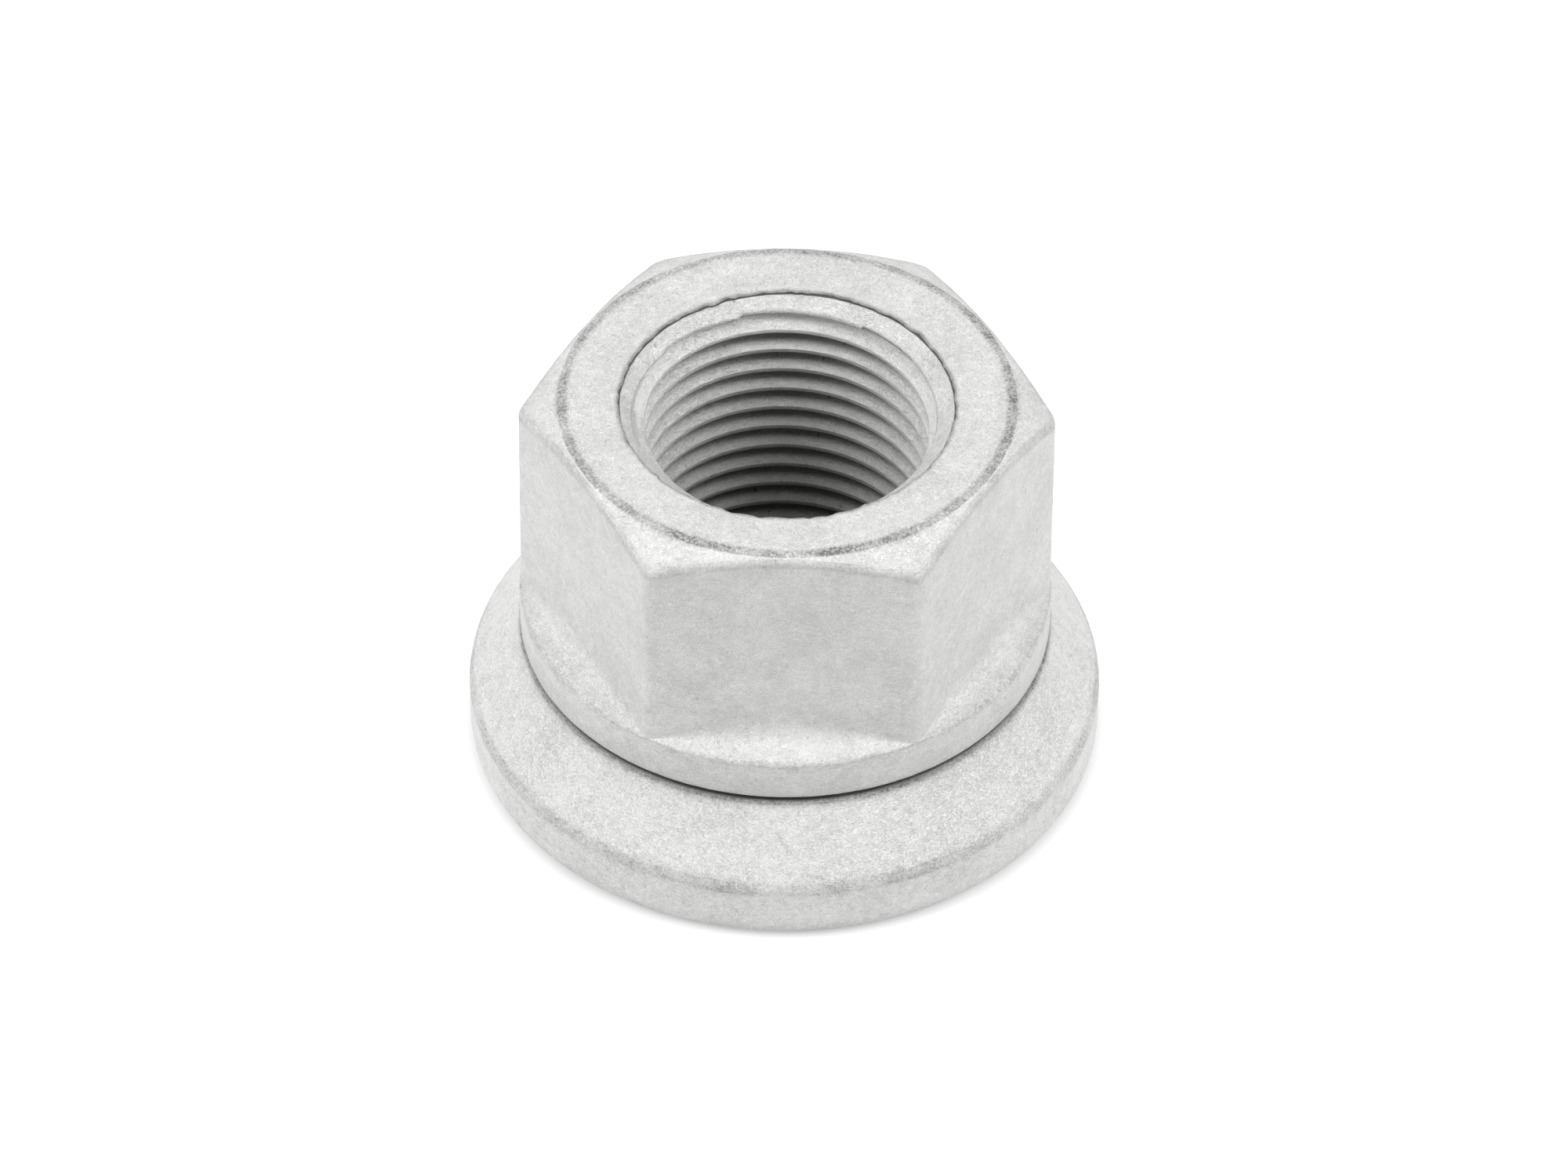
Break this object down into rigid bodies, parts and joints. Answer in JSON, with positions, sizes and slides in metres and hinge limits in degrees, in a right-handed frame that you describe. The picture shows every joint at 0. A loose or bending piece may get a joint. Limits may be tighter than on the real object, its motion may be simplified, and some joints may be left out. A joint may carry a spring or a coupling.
{
  "type": "wheel nut",
  "caption": "Hexagon wheel nut with a collar and a captive conical pressure washer that turns freely on the nut's neck, in a pale grey zinc-flake finish.",
  "frame": {"origin": "centre of the washer's bearing face, on the thread axis", "axes": "+Z along the thread axis, away from the wheel; two corners of the hexagon lie on the X axis, so two flats face along Y"},
  "size_m": [0.037, 0.037, 0.0252],
  "materials": {
    "nut_coating": "matte silver-grey zinc-flake coating on steel",
    "washer_coating": "matte silver-grey zinc-flake coating on steel"
  },
  "bodies": {
    "nut": {"nut_body": "nut_coating"},
    "washer": {"pressure_washer": "washer_coating"}
  },
  "joints": [
    {"name": "washer_spin", "type": "hinge", "parent": "nut", "child": "washer", "pos_m": [0, 0, 0.0084], "axis": [0, 0, 1], "continuous": true}
  ]
}
